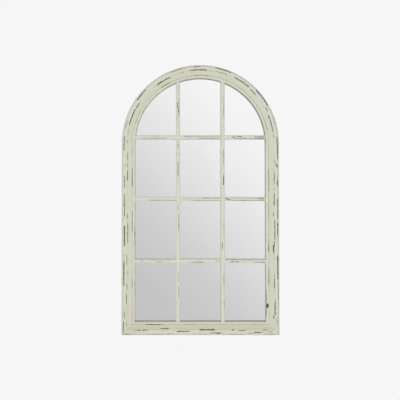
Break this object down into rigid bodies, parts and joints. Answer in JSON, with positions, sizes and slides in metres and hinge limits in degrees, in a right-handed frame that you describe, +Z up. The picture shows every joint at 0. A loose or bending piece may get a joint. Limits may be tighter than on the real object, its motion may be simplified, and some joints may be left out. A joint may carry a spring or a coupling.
{
  "type": "arched window mirror",
  "caption": "Round-topped wall mirror made like a window: worn painted moulded frame, glazing bars over a sheet of mirror glass, and swinging hanging rings on the back.",
  "frame": {"origin": "middle of the bottom edge, in the plane of the wall that the bumpers touch", "axes": "+X to the viewer's right, +Y from the front into the wall, +Z up; the mirror faces -Y"},
  "size_m": [0.7, 0.0316, 1.2],
  "materials": {
    "painted_wood": "matte sage-cream paint, rubbed through to dark wood along the edges",
    "dowel_wood": "bare beech",
    "mirror": "silvered float glass",
    "fibreboard": "raw pressed board",
    "screw_steel": "zinc plated",
    "hanger_steel": "zinc plated",
    "bumper_rubber": "matte black"
  },
  "bodies": {
    "frame": {"left_stile": "painted_wood", "right_stile": "painted_wood", "bottom_rail": "painted_wood", "arch_left": "painted_wood", "arch_crown": "painted_wood", "arch_right": "painted_wood", "vertical_bar_left": "painted_wood", "vertical_bar_right": "painted_wood", "horizontal_bar_top": "painted_wood", "horizontal_bar_middle": "painted_wood", "horizontal_bar_bottom": "painted_wood", "frame_dowels": "dowel_wood", "mirror_glass": "mirror", "backing_board": "fibreboard", "board_screws": "screw_steel", "hanger_strap_left": "hanger_steel", "hanger_strap_right": "hanger_steel", "hanger_screws_left": "screw_steel", "hanger_screws_right": "screw_steel", "wall_bumper_left": "bumper_rubber", "wall_bumper_right": "bumper_rubber"},
    "ring_left": {"hanging_ring_left": "hanger_steel"},
    "ring_right": {"hanging_ring_right": "hanger_steel"}
  },
  "joints": [
    {"name": "ring_left_swing", "type": "hinge", "parent": "frame", "child": "ring_left", "pos_m": [-0.33, -0.00298, 0.8], "axis": [1, 0, 0], "range_deg": [0, 182]},
    {"name": "ring_right_swing", "type": "hinge", "parent": "frame", "child": "ring_right", "pos_m": [0.33, -0.00298, 0.8], "axis": [1, 0, 0], "range_deg": [0, 182]}
  ]
}
